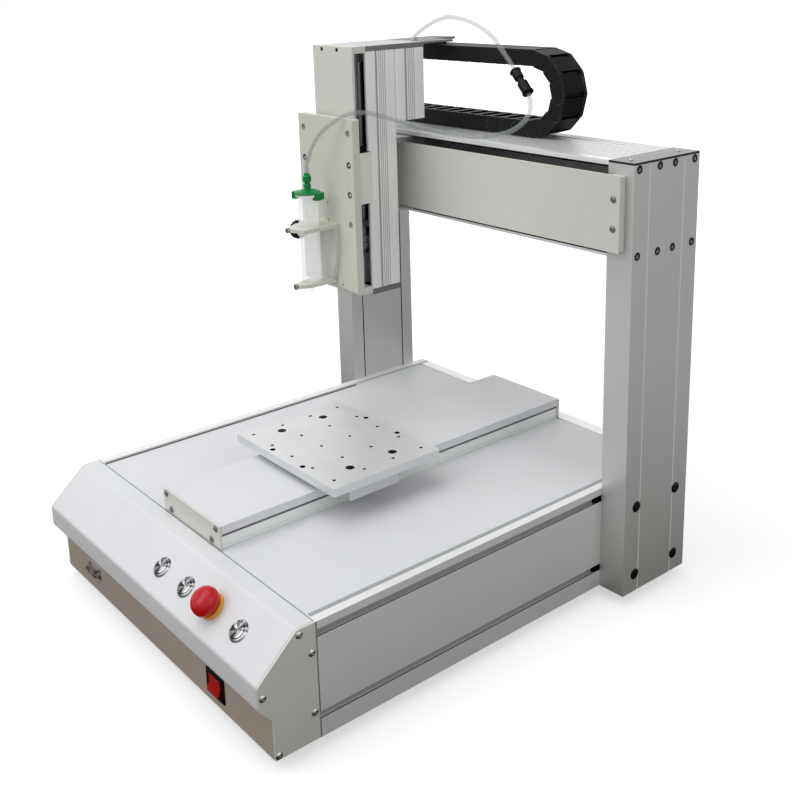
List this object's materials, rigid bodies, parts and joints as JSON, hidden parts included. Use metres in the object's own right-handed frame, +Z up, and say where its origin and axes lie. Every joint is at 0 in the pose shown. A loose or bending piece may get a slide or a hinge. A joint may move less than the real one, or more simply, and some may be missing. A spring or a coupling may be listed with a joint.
{
  "type": "glue dispensing machine",
  "caption": "Desktop three axis glue dispensing robot: extruded base and gantry, sliding table, vertical head with a syringe, sloped console with push buttons, stop button and cable carrier.",
  "frame": {"origin": "middle of the footprint, on the plane that the rubber feet stand on", "axes": "+X along the gantry beam to the operator's right, +Y from the console to the back, +Z up"},
  "size_m": [0.5378, 0.595, 0.66],
  "materials": {
    "anodised_silver": "satin anodised, with fine draw lines along the extrusions",
    "machined_aluminium": "fine machined",
    "white_paint": "smooth semi-gloss white powder coat",
    "cream_paint": "semi-gloss warm light grey paint",
    "stainless": "bright stainless",
    "polished_cap": "polished, dark reflections",
    "ground_steel": "ground",
    "black_oxide": "black oxide",
    "black_plastic": "fine grained",
    "black_metal": "satin black",
    "rubber": "matt",
    "red_plastic": "gloss",
    "yellow_plastic": "gloss",
    "blue_plastic": "satin",
    "green_plastic": "gloss",
    "clear_plastic": "clear, slightly milky",
    "clear_tube": "clear, flexible polyurethane",
    "circuit_board": "satin"
  },
  "bodies": {
    "base": {"base_sides": "anodised_silver", "rear_panel": "anodised_silver", "bottom_plate": "machined_aluminium", "deck_plates": "white_paint", "console_cover": "white_paint", "console_ends": "cream_paint", "case_screws": "stainless", "feet": "rubber", "switch_frame": "black_plastic", "data_port": "blue_plastic", "button_bezels": "stainless", "estop_collar": "yellow_plastic", "electronics": "circuit_board", "power_inlet": "black_plastic", "y_body": "anodised_silver", "y_cover": "white_paint", "y_end_plates": "cream_paint", "guide_rails": "ground_steel", "screw_supports": "machined_aluminium", "axis_motors": "black_metal", "column_left": "anodised_silver", "column_right": "anodised_silver", "column_caps": "polished_cap", "column_plugs": "black_plastic", "column_bolts": "stainless", "beam_body": "anodised_silver", "beam_cover": "cream_paint", "chain_lower": "black_plastic"},
    "rocker": {"switch_rocker": "red_plastic"},
    "button_left": {"button_cap_left": "stainless"},
    "button_middle": {"button_cap_middle": "stainless"},
    "button_right": {"button_cap_right": "stainless"},
    "estop_plunger": {"estop_stem": "red_plastic"},
    "estop_knob": {"estop_head": "red_plastic"},
    "table": {"y_carriage": "machined_aluminium", "table_plate": "machined_aluminium", "table_bolts": "black_oxide"},
    "y_leadscrew": {"y_screw": "ground_steel"},
    "x_leadscrew": {"x_screw": "ground_steel"},
    "head": {"x_carriage": "machined_aluminium", "z_body": "anodised_silver", "z_rear_box": "anodised_silver", "z_cover": "cream_paint", "z_end_plates": "machined_aluminium", "z_rails": "ground_steel", "z_motor": "black_metal", "chain_upper": "black_plastic", "air_tube": "clear_tube", "tube_fittings": "black_plastic"},
    "z_leadscrew": {"z_screw": "ground_steel", "z_coupling": "black_metal"},
    "tool": {"z_carriage": "white_paint", "tool_plate": "cream_paint", "tool_bolts": "stainless", "syringe_bracket": "white_paint", "syringe_barrel": "clear_plastic"},
    "cap": {"syringe_cap": "green_plastic"},
    "knob": {"clamp_knob": "black_plastic"},
    "chain_top": {"chain_bend_upper": "black_plastic"},
    "chain_bottom": {"chain_bend_lower": "black_plastic"}
  },
  "joints": [
    {"name": "y_slide", "type": "slide", "parent": "base", "child": "table", "axis": [0, 1, 0], "range_m": [-0.097, 0.203]},
    {"name": "x_slide", "type": "slide", "parent": "base", "child": "head", "axis": [1, 0, 0], "range_m": [-0.04, 0.26]},
    {"name": "z_slide", "type": "slide", "parent": "head", "child": "tool", "axis": [0, 0, 1], "range_m": [-0.03, 0.07], "deforming": ["air_tube"]},
    {"name": "y_screw_spin", "type": "hinge", "parent": "base", "child": "y_leadscrew", "pos_m": [0, -0.0025, 0.1305], "axis": [0, 1, 0], "range_deg": [-3600, 7400]},
    {"name": "x_screw_spin", "type": "hinge", "parent": "base", "child": "x_leadscrew", "pos_m": [0, 0.2115, 0.4602], "axis": [1, 0, 0], "range_deg": [-1500, 9400]},
    {"name": "z_screw_spin", "type": "hinge", "parent": "head", "child": "z_leadscrew", "pos_m": [-0.112, 0.1025, 0.462], "axis": [0, 0, 1], "range_deg": [-1100, 2600]},
    {"name": "chain_top_travel", "type": "slide", "parent": "head", "child": "chain_top", "axis": [1, 0, 0], "range_m": [-0.13, 0.02], "deforming": ["chain_upper"]},
    {"name": "chain_bottom_travel", "type": "slide", "parent": "base", "child": "chain_bottom", "axis": [1, 0, 0], "range_m": [-0.02, 0.13], "deforming": ["chain_lower"]},
    {"name": "button_left_push", "type": "slide", "parent": "base", "child": "button_left", "axis": [0, 0.6644, -0.7474], "range_m": [0, 0.0025], "stiffness_N_per_m": 600, "springref_m": -0.0005},
    {"name": "button_middle_push", "type": "slide", "parent": "base", "child": "button_middle", "axis": [0, 0.6644, -0.7474], "range_m": [0, 0.0025], "stiffness_N_per_m": 600, "springref_m": -0.0005},
    {"name": "button_right_push", "type": "slide", "parent": "base", "child": "button_right", "axis": [0, 0.6644, -0.7474], "range_m": [0, 0.0025], "stiffness_N_per_m": 600, "springref_m": -0.0005},
    {"name": "rocker_tilt", "type": "hinge", "parent": "base", "child": "rocker", "pos_m": [0.128, -0.2795, 0.036], "axis": [1, 0, 0], "range_deg": [0, 20]},
    {"name": "estop_push", "type": "slide", "parent": "base", "child": "estop_plunger", "axis": [0, 0.6644, -0.7474], "range_m": [0, 0.004]},
    {"name": "estop_twist", "type": "hinge", "parent": "estop_plunger", "child": "estop_knob", "pos_m": [0.119, -0.2843, 0.12646], "axis": [0, -0.6644, 0.7474], "range_deg": [0, 45], "stiffness_Nm_per_rad": 0.02, "springref_deg": -2.86},
    {"name": "cap_twist", "type": "hinge", "parent": "tool", "child": "cap", "pos_m": [-0.112, 0.0175, 0.452], "axis": [0, 0, 1], "range_deg": [0, 60]},
    {"name": "knob_turn", "type": "hinge", "parent": "tool", "child": "knob", "pos_m": [-0.13, 0.0175, 0.404], "axis": [1, 0, 0], "continuous": true}
  ],
  "couplings": [
    {"joint": "y_screw_spin", "follows": "y_slide", "rad_per_m": 628.32},
    {"joint": "x_screw_spin", "follows": "x_slide", "rad_per_m": 628.32},
    {"joint": "z_screw_spin", "follows": "z_slide", "rad_per_m": 628.32},
    {"joint": "chain_top_travel", "follows": "x_slide", "ratio": -0.5},
    {"joint": "chain_bottom_travel", "follows": "x_slide", "ratio": 0.5}
  ]
}
